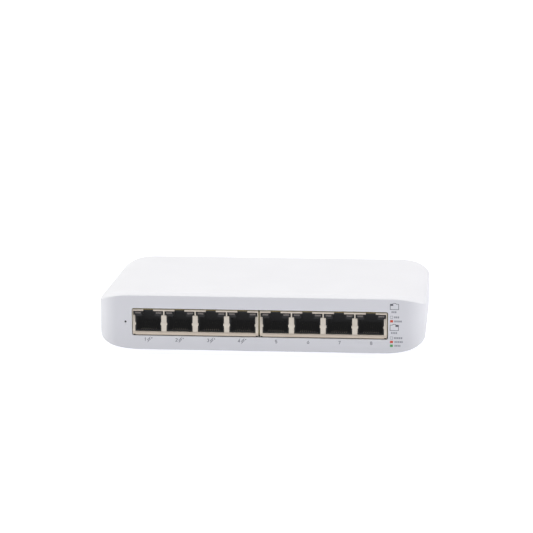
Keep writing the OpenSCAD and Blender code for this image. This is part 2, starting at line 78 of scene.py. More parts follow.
# ------------------------------------------------------------------ material nodes
class Shade:
    """A small builder for procedural materials in real scale. Sizes are in millimetres."""

    def __init__(self, name):
        self.mat = bpy.data.materials.new(name)
        self.mat.use_nodes = True
        self.t = self.mat.node_tree
        self.t.nodes.clear()
        out = self.t.nodes.new("ShaderNodeOutputMaterial")
        self.bsdf = self.t.nodes.new("ShaderNodeBsdfPrincipled")
        self.t.links.new(self.bsdf.outputs[0], out.inputs[0])
        self.coord = self.t.nodes.new("ShaderNodeTexCoord").outputs["Object"]

    def link(self, a, b):
        self.t.links.new(a, b)

    def put(self, **k):
        for name, value in k.items():
            self.bsdf.inputs[name.replace("_", " ")].default_value = value
        return self

    def stretch(self, x, y, z):
        m = self.t.nodes.new("ShaderNodeMapping")
        m.vector_type = "POINT"
        m.inputs["Scale"].default_value = (x, y, z)
        self.link(self.coord, m.inputs["Vector"])
        return m.outputs[0]

    def noise(self, size_mm, detail=2.0, rough=0.5, vec=None, distort=0.0):
        n = self.t.nodes.new("ShaderNodeTexNoise")
        n.inputs["Scale"].default_value = 1000.0 / size_mm
        n.inputs["Detail"].default_value = detail
        n.inputs["Roughness"].default_value = rough
        n.inputs["Distortion"].default_value = distort
        self.link(vec or self.coord, n.inputs["Vector"])
        return n.outputs["Fac"]

    def cells(self, size_mm, vec=None, feature="F1", out="Distance"):
        n = self.t.nodes.new("ShaderNodeTexVoronoi")
        n.feature = feature
        n.inputs["Scale"].default_value = 1000.0 / size_mm
        self.link(vec or self.coord, n.inputs["Vector"])
        return n.outputs[out]

    def ramp(self, fac, stops):
        n = self.t.nodes.new("ShaderNodeValToRGB")
        e = n.color_ramp.elements
        while len(e) < len(stops):
            e.new(0.5)
        for el, (pos, col) in zip(e, stops):
            el.position = pos
            el.color = (*col, 1) if len(col) == 3 else col
        self.link(fac, n.inputs["Fac"])
        return n.outputs["Color"]

    def span(self, fac, lo, hi, f0=0.3, f1=0.7):
        n = self.t.nodes.new("ShaderNodeMapRange")
        n.inputs["From Min"].default_value = f0
        n.inputs["From Max"].default_value = f1
        n.inputs["To Min"].default_value = lo
        n.inputs["To Max"].default_value = hi
        self.link(fac, n.inputs["Value"])
        return n.outputs[0]

    def mix(self, fac, a, b, mode="MIX"):
        n = self.t.nodes.new("ShaderNodeMix")
        n.data_type = "RGBA"
        n.blend_type = mode
        for sock, v in ((n.inputs["Factor"], fac), (n.inputs["A"], a), (n.inputs["B"], b)):
            pass
        ins = [s for s in n.inputs if s.enabled]
        for sock, v in zip(ins, (fac, a, b)):
            if isinstance(v, (int, float)):
                sock.default_value = v
            elif isinstance(v, tuple):
                sock.default_value = (*v, 1) if len(v) == 3 else v
            else:
                self.link(v, sock)
        return [s for s in n.outputs if s.enabled][0]

    def math(self, op, a, b=None):
        n = self.t.nodes.new("ShaderNodeMath")
        n.operation = op
        for sock, v in zip(n.inputs, (a, b)):
            if v is None:
                continue
            if isinstance(v, (int, float)):
                sock.default_value = v
            else:
                self.link(v, sock)
        return n.outputs[0]

    def bump(self, heights):
        """heights is [(height, depth in mm, strength)]"""
        normal = None
        for h, depth, strength in heights:
            n = self.t.nodes.new("ShaderNodeBump")
            n.inputs["Distance"].default_value = depth * MM
            n.inputs["Strength"].default_value = strength
            self.link(h, n.inputs["Height"])
            if normal is not None:
                self.link(normal, n.inputs["Normal"])
            normal = n.outputs[0]
        self.link(normal, self.bsdf.inputs["Normal"])
        return self

    def colour(self, sock):
        self.link(sock, self.bsdf.inputs["Base Color"])
        return self

    def rough(self, sock):
        self.link(sock, self.bsdf.inputs["Roughness"])
        return self


def shift(c, k):
    return tuple(max(0.0, min(1.0, x * k)) for x in c)


def moulded(name, base, rough=0.45, grain=0.32, depth=0.01, strength=0.5, mottle=22.0, vary=0.03, ior=1.47, gloss=0.5, painted_front_shade=None, painted_low_shade=None):
    """Moulded plastic with a fine spark-eroded grain and faint flow variation; two optional painted shades: one darkens
    the front end ahead of a given depth, the other darkens the low part a little.
    """
    s = Shade(name).put(IOR=ior, Specular_IOR_Level=gloss)
    big = s.noise(mottle, 3, 0.55, distort=0.4)
    fine = s.noise(grain, 3, 0.6)
    pits = s.cells(grain * 1.9, feature="SMOOTH_F1")
    c = s.mix(s.span(fine, 0.0, 0.35), s.ramp(big, [(0.3, shift(base, 1 - vary)), (0.7, shift(base, 1 + vary * 0.4))]), shift(base, 1 - vary * 1.6))
    # painted shade: the front end, ahead of the given depth, is darkened to take down the light it catches at the front
    if painted_front_shade:
        xyz = s.t.nodes.new("ShaderNodeSeparateXYZ")
        s.link(s.coord, xyz.inputs[0])
        c = s.mix(s.span(xyz.outputs[1], 1.0, 0.0, painted_front_shade, painted_front_shade + 0.0004), c, shift(base, 0.42))
    # painted shade: the colour turns darker towards the bottom, between two given heights
    if painted_low_shade:
        xyz = s.t.nodes.new("ShaderNodeSeparateXYZ")
        s.link(s.coord, xyz.inputs[0])
        c = s.mix(s.span(xyz.outputs[2], 1.0, 0.0, painted_low_shade[0], painted_low_shade[1]), c, shift(base, painted_low_shade[2]))
    s.colour(c)
    s.rough(s.math("ADD", s.span(big, rough - 0.03, rough + 0.03), s.span(fine, -0.04, 0.05)))
    s.bump([(pits, depth, strength * 0.6), (fine, depth, strength)])
    return s.mat


def plated(name, base, rough=0.36, lines=(24.0, 0.10), axis="x", vary=0.06, depth=0.002, warm=None, metallic=1.0):
    """Rolled and plated sheet or turned metal: fine lines along one axis, faint stains."""
    s = Shade(name).put(Metallic=metallic, IOR=2.2)
    long, short = lines
    k = {"x": (short / long, 1, 1), "y": (1, short / long, 1), "z": (1, 1, short / long)}[axis]
    grain = s.noise(short, 2, 0.6, vec=s.stretch(*k))
    stain = s.noise(5.0, 4, 0.6, distort=0.6)
    spots = s.noise(0.5, 2, 0.5)
    c = s.ramp(stain, [(0.28, shift(base, 1 - vary)), (0.5, base), (0.75, warm or shift(base, 1 + vary * 0.5))])
    s.colour(s.mix(s.span(grain, 0.0, 0.3), c, shift(base, 1 - vary * 1.5)))
    s.rough(s.math("ADD", s.span(stain, rough - 0.05, rough + 0.07), s.span(spots, -0.03, 0.04)))
    s.bump([(grain, depth, 0.5), (stain, depth * 4, 0.25)])
    return s.mat


def shield(name, base, low):
    """Nickel-plated sheet: fine rolling lines and faint stains, with painted shade: a darker warm band along its lower
    edge, where the window's lower lip keeps light off; the face also goes part of the way to that colour along its top
    edge.
    """
    s = Shade(name).put(Metallic=1.0, IOR=2.2)
    grain = s.noise(0.12, 2, 0.6, vec=s.stretch(0.12 / 14.0, 1, 1))
    stain = s.noise(5.0, 4, 0.6, distort=0.6)
    spots = s.noise(0.5, 2, 0.5)
    xyz = s.t.nodes.new("ShaderNodeSeparateXYZ")
    s.link(s.coord, xyz.inputs[0])
    # painted shade: the warm band below about 12 mm, shaded by the window's lower lip
    painted_low_shade = s.span(xyz.outputs[2], 1.0, 0.0, 0.0114, 0.0124)
    head = s.span(xyz.outputs[2], 0.0, 0.55, 0.0221, 0.0226)
    c = s.ramp(stain, [(0.28, shift(base, 0.95)), (0.5, base), (0.75, (base[0], base[1] * 0.985, base[2] * 0.965))])
    c = s.mix(s.math("MULTIPLY", painted_low_shade, 0.9), c, low)
    c = s.mix(head, c, shift(low, 1.02))
    s.colour(s.mix(s.span(grain, 0.0, 0.3), c, shift(base, 0.90)))
    s.rough(s.math("ADD", s.span(stain, 0.38, 0.47), s.span(spots, -0.03, 0.04)))
    s.bump([(grain, 0.002, 0.5), (stain, 0.008, 0.25)])
    return s.mat


def rubber(name, base):
    s = Shade(name).put(IOR=1.5)
    fine = s.noise(0.25, 4, 0.7)
    dust = s.noise(6.0, 4, 0.6)
    s.colour(s.ramp(dust, [(0.35, base), (0.75, shift(base, 1.8))]))
    s.rough(s.span(fine, 0.72, 0.9))
    s.bump([(fine, 0.03, 0.6)])
    return s.mat


def chip_epoxy(name, base=(0.030, 0.030, 0.033)):
    s = Shade(name).put(IOR=1.5)
    fine = s.noise(0.12, 4, 0.75)
    cloud = s.noise(4.0, 3, 0.6)
    s.colour(s.mix(s.span(fine, 0.0, 0.5), s.ramp(cloud, [(0.3, base), (0.8, shift(base, 1.5))]), shift(base, 2.2)))
    s.rough(s.span(cloud, 0.55, 0.68))
    s.bump([(fine, 0.012, 0.6)])
    return s.mat


def laminate(name):
    """Board laminate: green mask over copper tracks, with the glass weave just showing."""
    s = Shade(name).put(IOR=1.52)
    s.put(Coat_Weight=0.4, Coat_Roughness=0.12)
    n = s.t.nodes.new("ShaderNodeTexBrick")
    n.inputs["Scale"].default_value = 1.0
    n.inputs["Brick Width"].default_value = 0.011
    n.inputs["Row Height"].default_value = 0.0011
    n.inputs["Mortar Size"].default_value = 0.00012
    n.inputs["Mortar Smooth"].default_value = 0.2
    s.link(s.coord, n.inputs["Vector"])
    lands = s.cells(9.0, out="Color")
    tracks = s.math("MULTIPLY", n.outputs["Fac"], s.span(s.noise(9.0, 1), 0, 1, 0.45, 0.52))
    weave = s.math("MULTIPLY", s.math("SINE", s.math("MULTIPLY", s.t.nodes.new("ShaderNodeSeparateXYZ").outputs[0], 9000.0)), 0.5)
    for node in s.t.nodes:
        if node.type == "SEPXYZ":
            s.link(s.coord, node.inputs[0])
    ground = s.ramp(s.noise(14.0, 3, 0.6), [(0.3, (0.010, 0.085, 0.040)), (0.7, (0.016, 0.120, 0.055))])
    s.colour(s.mix(tracks, ground, (0.030, 0.190, 0.085)))
    s.rough(s.span(s.noise(3.0, 3), 0.30, 0.42))
    s.bump([(weave, 0.004, 0.3), (tracks, 0.035, 0.6)])
    return s.mat


def lens(name):
    """Smoky unlit light window: dull translucent epoxy with a clearer skin."""
    s = Shade(name).put(IOR=1.5, Coat_Weight=0.25, Coat_Roughness=0.18, Transmission_Weight=0.12)
    cloud = s.noise(1.4, 3, 0.6)
    fine = s.noise(0.12, 3, 0.6)
    s.colour(s.ramp(cloud, [(0.25, (0.126, 0.108, 0.100)), (0.75, (0.180, 0.153, 0.139))]))
    s.rough(s.span(cloud, 0.34, 0.46))
    s.bump([(fine, 0.004, 0.4)])
    return s.mat


def ink(name, base):
    """Pad-printed ink: slightly uneven film with soft pinholes."""
    s = Shade(name).put(IOR=1.48)
    holes = s.noise(0.09, 2, 0.6)
    cloud = s.noise(0.9, 3, 0.6)
    s.colour(s.mix(s.span(holes, 0.0, 0.35, 0.5, 0.8), s.ramp(cloud, [(0.3, shift(base, 0.93)), (0.7, shift(base, 1.06))]), shift(base, 1.5)))
    s.rough(s.span(cloud, 0.38, 0.52))
    s.bump([(holes, 0.006, 0.4)])
    return s.mat


WHITE = (0.750, 0.752, 0.776)
M = {
    # painted shade: the cover's colour darkens by 5 % from 20 mm down to 6 mm height, standing in for the dimmer light
    # on its low part
    "cover_plastic": moulded("cover_plastic", WHITE, rough=0.62, gloss=0.2, grain=0.30, depth=0.006, strength=0.35, vary=0.012, painted_low_shade=(0.006, 0.020, 0.950)),
    "base_plastic": moulded("base_plastic", (0.735, 0.737, 0.760), rough=0.62, gloss=0.2, grain=0.45, depth=0.012, strength=0.5, vary=0.02),
    "foot_rubber": rubber("foot_rubber", (0.020, 0.020, 0.022)),
    "screw_steel": plated("screw_steel", (0.56, 0.57, 0.60), rough=0.32, lines=(3.0, 0.08), vary=0.1),
    "board_laminate": laminate("board_laminate"),
    # the second colour is the painted shade of the shield's lower band
    "shield_steel": shield("shield_steel", (0.612, 0.560, 0.478), (0.478, 0.406, 0.326)),
    # painted shade: the housing's front end, ahead of y = -48.7 mm, is darkened to take down the light it catches at
    # the window
    "housing_plastic": moulded("housing_plastic", (0.026, 0.026, 0.028), rough=0.52, grain=0.2, depth=0.01, strength=0.5, vary=0.25, gloss=0.3, painted_front_shade=-0.0487),
    # painted shade: the contacts' colour is kept dim, well below gold, for the shade deep inside the jacks
    "contact_gold": plated("contact_gold", (0.34, 0.304, 0.238), rough=0.42, lines=(4.0, 0.05), axis="y", vary=0.08),
    "light_lens": lens("light_lens"),
    "button_plastic": moulded("button_plastic", (0.030, 0.030, 0.033), rough=0.4, grain=0.2, vary=0.2),
    "switch_plastic": moulded("switch_plastic", (0.022, 0.022, 0.024), rough=0.5, grain=0.18, vary=0.2),
    "bracket_steel": plated("bracket_steel", (0.66, 0.66, 0.65), rough=0.3, lines=(6.0, 0.08)),
    "tinned_pin": plated("tinned_pin", (0.72, 0.71, 0.68), rough=0.28, lines=(3.0, 0.06), axis="y"),
    "chip_black": chip_epoxy("chip_black"),
    "pad_silicone": moulded("pad_silicone", (0.26, 0.36, 0.46), rough=0.75, grain=0.5, depth=0.03, vary=0.08),
    "sink_aluminium": plated("sink_aluminium", (0.60, 0.61, 0.63), rough=0.38, lines=(20.0, 0.15), axis="y", vary=0.08),
    "can_steel": plated("can_steel", (0.68, 0.68, 0.69), rough=0.26, lines=(4.0, 0.1)),
    "inductor_ferrite": moulded("inductor_ferrite", (0.045, 0.045, 0.048), rough=0.7, grain=0.3, depth=0.03, vary=0.25),
    "capacitor_sleeve": moulded("capacitor_sleeve", (0.018, 0.026, 0.060), rough=0.28, grain=0.8, depth=0.006, vary=0.15),
    "capacitor_can": plated("capacitor_can", (0.64, 0.64, 0.66), rough=0.3, lines=(3.0, 0.08), axis="z"),
    "fuse_ceramic": moulded("fuse_ceramic", (0.62, 0.58, 0.46), rough=0.3, grain=0.4, depth=0.006, vary=0.05),
    "chip_ceramic": moulded("chip_ceramic", (0.22, 0.15, 0.09), rough=0.5, grain=0.15, depth=0.01, vary=0.2),
}
EDGE_BRASS = plated("edge_brass", (0.335, 0.280, 0.128), rough=0.5, lines=(2.0, 0.08), axis="y", vary=0.15, metallic=0.55)
# painted shade: a darkened copy of the brass edge, for the top sheet's edge in the shade over each latch notch
SHADED_BRASS = plated("edge_brass_shaded", (0.180, 0.135, 0.034), rough=0.55, lines=(2.0, 0.08), axis="y", vary=0.15, metallic=0.75)
INK_GREY = ink("ink_grey", (0.205, 0.208, 0.235))
INK_DARK = ink("ink_dark", (0.085, 0.088, 0.105))
INK_PALE = ink("ink_pale", (0.245, 0.250, 0.280))
INK_DASH = ink("ink_dash", (0.280, 0.285, 0.315))
INK_RED = ink("ink_red", (0.62, 0.070, 0.028))
INK_GREEN = ink("ink_green", (0.068, 0.330, 0.095))

slot_of = {s["node"]: s["material_slot"] for s in frame["record"]["subparts"]}


# ------------------------------------------------------------------ CAD nodes that stay
def tidy_group():
    """Joins each CAD mesh's split corners and shades its curved faces smoothly, by edge angle. Moves nothing."""
    g = bpy.data.node_groups.new("tidy_shading", "GeometryNodeTree")
    g.interface.new_socket(name="Geometry", in_out="INPUT", socket_type="NodeSocketGeometry")
    g.interface.new_socket(name="Geometry", in_out="OUTPUT", socket_type="NodeSocketGeometry")
    gi, go = g.nodes.new("NodeGroupInput"), g.nodes.new("NodeGroupOutput")
    merge = g.nodes.new("GeometryNodeMergeByDistance")
    merge.inputs["Distance"].default_value = 2e-7
    faces = g.nodes.new("GeometryNodeSetShadeSmooth")
    faces.domain = "FACE"
    faces.inputs["Shade Smooth"].default_value = True
    edges = g.nodes.new("GeometryNodeSetShadeSmooth")
    edges.domain = "EDGE"
    edges.inputs["Shade Smooth"].default_value = False
    angle = g.nodes.new("GeometryNodeInputMeshEdgeAngle")
    more = g.nodes.new("FunctionNodeCompare")
    more.data_type = "FLOAT"
    more.operation = "GREATER_THAN"
    more.inputs[1].default_value = math.radians(28)
    L = g.links.new
    L(gi.outputs[0], merge.inputs["Geometry"])
    L(merge.outputs[0], faces.inputs["Geometry"])
    L(faces.outputs[0], edges.inputs["Geometry"])
    L(angle.outputs[0], more.inputs[0])
    L(more.outputs[0], edges.inputs["Selection"])
    L(edges.outputs[0], go.inputs[0])
    return g


TIDY = tidy_group()
for name, ob in nodes.items():
    mat = M[slot_of[name]]
    if not ob.material_slots:
        ob.data.materials.append(mat)
    for s in ob.material_slots:
        s.material = mat
    m = ob.modifiers.new("tidy", "NODES")
    m.node_group = TIDY

for name, width in (("bottom_cover", 0.25), ("cover_screws", 0.12), ("dc_jack_housing", 0.18), ("port_housing_left", 0.08),
                    ("port_housing_right", 0.08), ("lan_transformers", 0.2), ("switch_chip", 0.06), ("main_board", 0.1),
                    ("reset_switch_body", 0.12), ("heat_sink", 0.12), ("reset_button", 0.12)):
    b = nodes[name].modifiers.new("edge", "BEVEL")
    b.width = width * MM
    b.segments = 2
    b.limit_method = "ANGLE"
    b.angle_limit = math.radians(40)
    b.use_clamp_overlap = True
    b.harden_normals = False


# ------------------------------------------------------------------ mesh helpers
def make_object(name, bm, mats, angle=32, body=ROOT):
    """A bmesh in millimetres becomes a piece in metres that rides on a body."""
    bmesh.ops.transform(bm, matrix=Matrix.Scale(MM, 4), verts=bm.verts)
    me = bpy.data.meshes.new(name)
    bm.to_mesh(me)
    bm.free()
    for m in mats:
        me.materials.append(m)
    shade(me, angle)
    ob = bpy.data.objects.new(name, me)
    scene.collection.objects.link(ob)
    if body:
        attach(ob, body)
    return ob


def shade(me, angle):
    me.polygons.foreach_set("use_smooth", [True] * len(me.polygons))
    me.set_sharp_from_angle(angle=math.radians(angle))
    me.update()


def boolean(ob, cutter, op):
    """Applies an exact boolean and drops the cutter."""
    m = ob.modifiers.new("cut", "BOOLEAN")
    m.operation = op
    m.solver = "EXACT"
    m.object = cutter
    bpy.context.view_layer.update()
    dg = bpy.context.evaluated_depsgraph_get()
    me = bpy.data.meshes.new_from_object(ob.evaluated_get(dg))
    old = ob.data
    ob.modifiers.clear()
    ob.data = me
    bpy.data.meshes.remove(old)
    bpy.data.objects.remove(cutter)


def round_path(corners, grow=0.0, seg=5):
    """A closed path of (x, z, radius) corners, counter-clockwise, moved outwards by grow, with its corners rounded."""
    n = len(corners)
    P = [Vector((c[0], c[1])) for c in corners]
    out = []
    for i in range(n):
        a = (P[i] - P[i - 1]).normalized()
        b = (P[(i + 1) % n] - P[i]).normalized()
        na, nb = Vector((a.y, -a.x)), Vector((b.y, -b.x))
        p = P[i] + (na + nb) * (grow / (1 + na.dot(nb)))
        turn = a.x * b.y - a.y * b.x
        r = max(0.012, corners[i][2] + (grow if turn > 0 else -grow))
        theta = math.atan2(turn, a.dot(b))
        t = abs(r * math.tan(theta / 2))
        side = 1 if theta > 0 else -1
        c = p - a * t + Vector((-a.y, a.x)) * r * side
        start = p - a * t - c
        for k in range(seg + 1):
            ang = theta * k / seg
            v = Vector((start.x * math.cos(ang) - start.y * math.sin(ang), start.x * math.sin(ang) + start.y * math.cos(ang)))
            out.append(c + v)
    return out


def sheet_plate(bm, outer, holes, y0, y1, edge, seg=5, steps=3, hole_edge=None, mat=0, rim=None, at=0.0):
    """A flat plate standing in the x, z plane from depth y0 (front) to y1, with holes and rounded edges."""
    rim = mat if rim is None else rim
    def profile(e):
        pts = [(e * (1 - math.sin(math.pi / 2 * k / steps)), y0 + e * (1 - math.cos(math.pi / 2 * k / steps))) for k in range(steps + 1)]
        return pts + [(e * (1 - math.cos(math.pi / 2 * k / steps)), y1 - e * (1 - math.sin(math.pi / 2 * k / steps))) for k in range(steps + 1)]

    loops = [(outer, -1, edge)] + [(h, 1, hole_edge or edge) for h in holes]
    ends = [[], []]
    for path, sign, e in loops:
        rings = []
        for off, y in profile(e):
            rings.append([bm.verts.new((p.x + at, y, p.y)) for p in round_path(path, sign * off, seg)])
        for k, (a, b) in enumerate(zip(rings, rings[1:])):
            for i in range(len(a)):
                j = (i + 1) % len(a)
                bm.faces.new((a[i], a[j], b[j], b[i])).material_index = mat if k < steps - 1 else rim
        ends[0].append(rings[0])
        ends[1].append(rings[-1])
    for side in ends:
        flat = [v for ring in side for v in ring]
        tri = tessellate_polygon([[Vector((v.co.x, v.co.z, 0)) for v in ring] for ring in side])
        for a, b, c in tri:
            try:
                bm.faces.new((flat[a], flat[b], flat[c])).material_index = mat
            except ValueError:
                pass


def box(bm, lo, hi, mat=0):
    v = [bm.verts.new((x, y, z)) for x in (lo[0], hi[0]) for y in (lo[1], hi[1]) for z in (lo[2], hi[2])]
    for f in ((0, 1, 3, 2), (4, 6, 7, 5), (0, 4, 5, 1), (2, 3, 7, 6), (0, 2, 6, 4), (1, 5, 7, 3)):
        bm.faces.new([v[i] for i in f]).material_index = mat


def rect(x0, z0, x1, z1, r):
    return [(x0, z0, r), (x1, z0, r), (x1, z1, r), (x0, z1, r)]


def loft_y(bm, rings):
    """Closed solid through rings of (x, y, z) points, capped at both ends."""
    R = [[bm.verts.new(p) for p in ring] for ring in rings]
    for a, b in zip(R, R[1:]):
        for i in range(len(a)):
            j = (i + 1) % len(a)
            bm.faces.new((a[i], a[j], b[j], b[i]))
    bm.faces.new(R[0][::-1])
    bm.faces.new(R[-1])


def solid_ready(bm):
    bmesh.ops.remove_doubles(bm, verts=bm.verts, dist=1e-5)
    bmesh.ops.recalc_face_normals(bm, faces=bm.faces)
    return bm


# ------------------------------------------------------------------ top cover
HW, HD, H, RIM = 81.85, 49.782, 31.7, 2.78
PLAN_R = 10.9
TX, TZ, LX, LZ = 16.5, 5.8, 21.3, 7.8
BEV_Y, BEV_Z = 2.6, 1.46
FLAT = HW - LX
IN_X, IN_Y, IN_TOP, IN_R = 79.0, 47.6, 29.5, 8.05


def smin(a, b, k):
    k = max(k, 1e-6)
    h = max(0.0, min(1.0, 0.5 + 0.5 * (b - a) / k))
    return b + (a - b) * h - k * h * (1 - h)


def ell(u):
    return 1 - math.sqrt(max(0.0, 1 - min(1.0, u) ** 2))


class Skin:
    """Outer or inner surface of the cover, over a grid of columns (along x) and rows (along y)."""

    def __init__(self, hw, hd, r, inner):
        self.hw, self.hd, self.r, self.inner = hw, hd, r, inner
        ends, mid = 40, 16
        run = hw - FLAT
        left = [-(FLAT + run * math.cos(math.pi / 2 * i / ends)) for i in range(ends)]
        middle = [-FLAT + 2 * FLAT * i / mid for i in range(mid + 1)]
        self.x = left + middle + [-v for v in reversed(left)]
        self.d = [0, 0.7, 1.3, 1.75, 2.1, 2.4, 2.7, 3.0, 3.5, 4.2, 5.5, 8, 12]

    def rows(self, x):
        over = max(0.0, abs(x) - (self.hw - self.r))
        half = []
        for d in self.d:
            # each row keeps its distance from the outline, round the corner too
            reach = self.r - d
            if over > 0 and reach > over:
                half.append(-(self.hd - self.r) - math.sqrt(reach ** 2 - over ** 2))
            else:
                half.append(-(self.hd - self.r) - (reach - over))
        last = half[-1]
        k = 5
        half += [last * (1 - i / k) for i in range(1, k)]
        return half + [0.0] + [-v for v in reversed(half)]

    def low(self, x):
        return RIM + LZ * ell(max(0.0, abs(x) - FLAT) / LX)

    def top(self, x, y):
        if self.inner:
            return IN_TOP - 5.0 * ell(max(0.0, abs(x) - (IN_X - 14.5)) / 14.5)
        round_z = H - TZ * ell(max(0.0, abs(x) - (HW - TX)) / TX)
        # the bevel follows the outline round the corners and fades out towards the sides
        ax, ay = abs(x) - (self.hw - self.r), abs(y) - (self.hd - self.r)
        if ax <= 0:
            d, turn = self.hd - abs(y), 0.0
        elif ay <= 0:
            return round_z
        else:
            d, turn = self.r - math.hypot(ax, ay), math.atan2(ax, ay) / (math.pi / 2)
        depth = BEV_Z * (1 - turn ** 3.2)
        return round_z + smin(0.0, depth * (d / BEV_Y - 1), 0.3 * depth)

    def levels(self, lo, hi):
        ends = [0, 0.55, 1.3]
        mid = [lo + 1.3 + (hi - lo - 2.6) * i / 8 for i in range(1, 8)]
        return [lo + e for e in ends] + mid + [hi - e for e in reversed(ends)]


def cover_mesh():
    bm = bmesh.new()
    out, inn = Skin(HW, HD, PLAN_R, False), Skin(IN_X, IN_Y, IN_R, True)
    rims = {}
    crease = []
    for key, s in (("o", out), ("i", inn)):
        grid = []
        for x in s.x:
            grid.append([bm.verts.new((x, y, s.top(x, y))) for y in s.rows(x)])
        for a, b in zip(grid, grid[1:]):
            for j in range(len(a) - 1):
                bm.faces.new((a[j], b[j], b[j + 1], a[j + 1]))
        n, m = len(grid), len(grid[0])
        rims[key] = []

        def wall(tops):
            cols = []
            for v in tops:
                lo = s.low(v.co.x)
                cols.append([bm.verts.new((v.co.x, v.co.y, z)) for z in s.levels(lo, v.co.z)[:-1]] + [v])
            for a, b in zip(cols, cols[1:]):
                for k in range(len(a) - 1):
                    bm.faces.new((a[k], b[k], b[k + 1], a[k + 1]))
            return [c[0] for c in cols]

        front = wall([grid[i][0] for i in range(n)])
        right = wall([grid[n - 1][j] for j in range(m)])
        rear = wall([grid[i][m - 1] for i in reversed(range(n))])
        left = wall([grid[0][j] for j in reversed(range(m))])
        rims[key] = [front, right, rear, left]

    # the curved band under the rim, between the outer wall's foot and the opening
    def angle_of(x):
        return math.asin(min(1.0, max(0.0, abs(x) - FLAT) / LX))

    for o, i in zip(rims["o"], rims["i"]):
        rings = []
        for a, b in zip(o, i):
            line = [a]
            steps = 5
            fa, fb = angle_of(a.co.x), angle_of(b.co.x)
            for k in range(1, steps):
                t = k / steps
                f = fa + (fb - fa) * t
                x = a.co.x + (b.co.x - a.co.x) * t
                if fa > 0 or fb > 0:
                    x = math.copysign(FLAT + LX * math.sin(f), a.co.x) if f > 1e-6 else x
                y = a.co.y + (b.co.y - a.co.y) * t
                line.append(bm.verts.new((x, y, out.low(x))))
            line.append(b)
            rings.append(line)
        for a, b in zip(rings, rings[1:]):
            for k in range(len(a) - 1):
                bm.faces.new((a[k], a[k + 1], b[k + 1], b[k]))
    solid_ready(bm)
    # soften the moulded creases, the rim's less than the upper ones
    for offset, z0, z1 in ((0.22, 20.0, 30.6), (0.13, 0.0, 20.0)):
        sharp = [e for e in bm.edges if len(e.link_faces) == 2 and e.calc_face_angle(0) > math.radians(20)
                 and z0 <= min(v.co.z for v in e.verts) < z1]
        bmesh.ops.bevel(bm, geom=sharp, offset=offset, offset_type="OFFSET", segments=3, profile=0.5, affect="EDGES", clamp_overlap=True)
    bmesh.ops.recalc_face_normals(bm, faces=bm.faces)
    return bm


def make_cover():
    ob = make_object("cover_shell", cover_mesh(), [M["cover_plastic"]], angle=30, body=None)
    # bosses and ribs inside
    bm = bmesh.new()
    for bx, by in ((-70.5, -30), (70.5, -30), (-70.5, 38), (70.5, 38)):
        ring = [(bx + 3.25 * math.cos(2 * math.pi * k / 40), by + 3.25 * math.sin(2 * math.pi * k / 40)) for k in range(40)]
        loft_y(bm, [[(x, y, 7.4) for x, y in ring], [(x, y, 29.6) for x, y in ring]])
    solid_ready(bm)
    boolean(ob, make_object("t", bm, [M["cover_plastic"]], body=None), "UNION")
    bm = bmesh.new()
    for bx, by in ((-70.5, -30), (70.5, -30), (-70.5, 38), (70.5, 38)):
        s = 1 if bx > 0 else -1
        xs = sorted((bx + s * 2.9, s * 79.4))
        box(bm, (xs[0], by - 0.7, 12), (xs[1], by + 0.7, 26))
    for x in (-54, -18, 18):
        box(bm, (x - 0.6, -28, 27.3), (x + 0.6, 47.8, 29.7))
    solid_ready(bm)
    boolean(ob, make_object("t", bm, [M["cover_plastic"]], body=None), "UNION")
    bm = bmesh.new()
    # port window with a small rounded lip
    lip = 0.22
    rings = []
    win = rect(-64.4, 9.8, 63.5, 23.75, 0.9)
    stations = [(-51.0, lip)] + [(-HD + lip * (1 - math.cos(math.pi / 2 * k / 4)), lip * (1 - math.sin(math.pi / 2 * k / 4))) for k in range(5)] + [(-46.5, 0.0)]
    for y, g in stations:
        rings.append([(p.x, y, p.y) for p in round_path(win, g, 8)])
    loft_y(bm, rings)
    # pinhole

    def bore(cx, cz, r, ys, edge, fn, out_sign):
        rr = []
        for y, g in ys:
            rr.append([(cx + (r + g) * math.cos(2 * math.pi * k / fn), y, cz + (r + g) * math.sin(2 * math.pi * k / fn)) for k in range(fn)])
        loft_y(bm, rr)

    e = 0.04
    bore(-67.65, 16.85, 0.54, [(-51, e)] + [(-HD + e * (1 - math.cos(math.pi / 2 * k / 3)), e * (1 - math.sin(math.pi / 2 * k / 3))) for k in range(4)] + [(-46.8, 0)], e, 40, -1)
    e = 0.35
    bore(55, 16.4, 4.25, [(47.0, 0)] + [(HD - e * (1 - math.cos(math.pi / 2 * k / 4)), e * (1 - math.sin(math.pi / 2 * k / 4))) for k in reversed(range(5))] + [(51, e)], e, 72, 1)
    for bx, by in ((-70.5, -30), (70.5, -30), (-70.5, 38), (70.5, 38)):
        ring = [(bx + 1.5 * math.cos(2 * math.pi * k / 28), by + 1.5 * math.sin(2 * math.pi * k / 28)) for k in range(28)]
        loft_y(bm, [[(x, y, 5) for x, y in ring], [(x, y, 16.9) for x, y in ring]])
    solid_ready(bm)
    boolean(ob, make_object("t", bm, [M["cover_plastic"]], body=None), "DIFFERENCE")
    bm = bmesh.new()
    box(bm, (50, 47.5, 1), (60, 48.6, 21.6))
    box(bm, (-69.85, -49.0, 14.65), (-65.45, -47.5, 19.05))
    solid_ready(bm)
    boolean(ob, make_object("t", bm, [M["cover_plastic"]], body=None), "DIFFERENCE")
    me = ob.data
    while len(me.materials) > 1:
        me.materials.pop()
    shade(me, 30)
    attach(ob, ROOT)
    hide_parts("top_cover")
    return ob


cover = make_cover()

